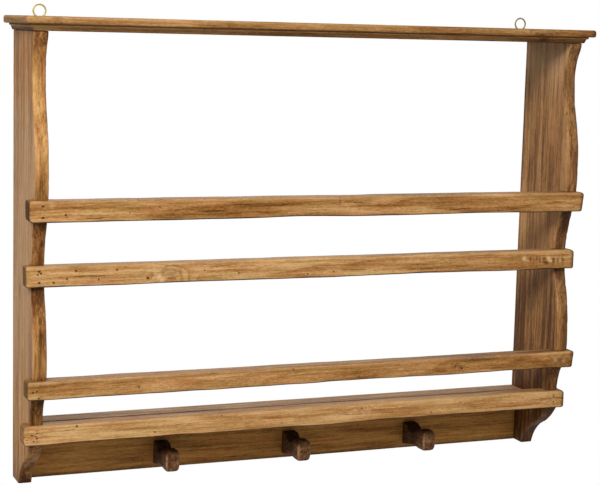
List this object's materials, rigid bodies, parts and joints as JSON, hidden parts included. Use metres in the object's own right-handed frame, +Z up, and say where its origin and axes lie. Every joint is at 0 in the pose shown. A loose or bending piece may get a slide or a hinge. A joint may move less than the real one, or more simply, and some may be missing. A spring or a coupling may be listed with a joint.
{
  "type": "wall plate rack",
  "caption": "Wall plate rack of old waxed pine with shaped sides, a cornice, rails across the front, a lipped shelf and cup pegs below.",
  "frame": {"origin": "midway between the centres of the rings of the two screw eyes that the rack hangs by; the wall plane is 8 mm behind it, at Y = +0.008", "axes": "+Z up, +X to the right seen from the front, +Y into the wall; the front faces -Y"},
  "size_m": [1.241, 0.2145, 0.9739],
  "materials": {
    "side_pine": "old wax, satin",
    "moulding_pine": "old wax, satin",
    "rail_pine": "old wax, satin",
    "shelf_pine": "old wax, satin",
    "peg_rail_pine": "old wax, satin",
    "peg_pine": "old wax, satin",
    "end_grain_pine": "old wax, satin",
    "brass": "dulled, satin",
    "iron": "rusted dark"
  },
  "bodies": {
    "root": {"left_side": "side_pine", "right_side": "side_pine", "top_board": "side_pine", "cornice_front": "moulding_pine", "cornice_left": "moulding_pine", "cornice_right": "moulding_pine", "upper_guard_rail": "rail_pine", "upper_plate_rail": "rail_pine", "lower_guard_rail": "rail_pine", "shelf_lip_rail": "rail_pine", "bottom_shelf": "shelf_pine", "peg_rail": "peg_rail_pine", "left_peg": "peg_pine", "middle_peg": "peg_pine", "right_peg": "peg_pine", "left_screw_eye": "brass", "right_screw_eye": "brass", "rail_nails": "iron", "shelf_nails": "iron", "peg_rail_nails": "iron", "top_board_nails": "iron", "cornice_pins": "iron", "peg_nails": "iron"}
  },
  "joints": []
}
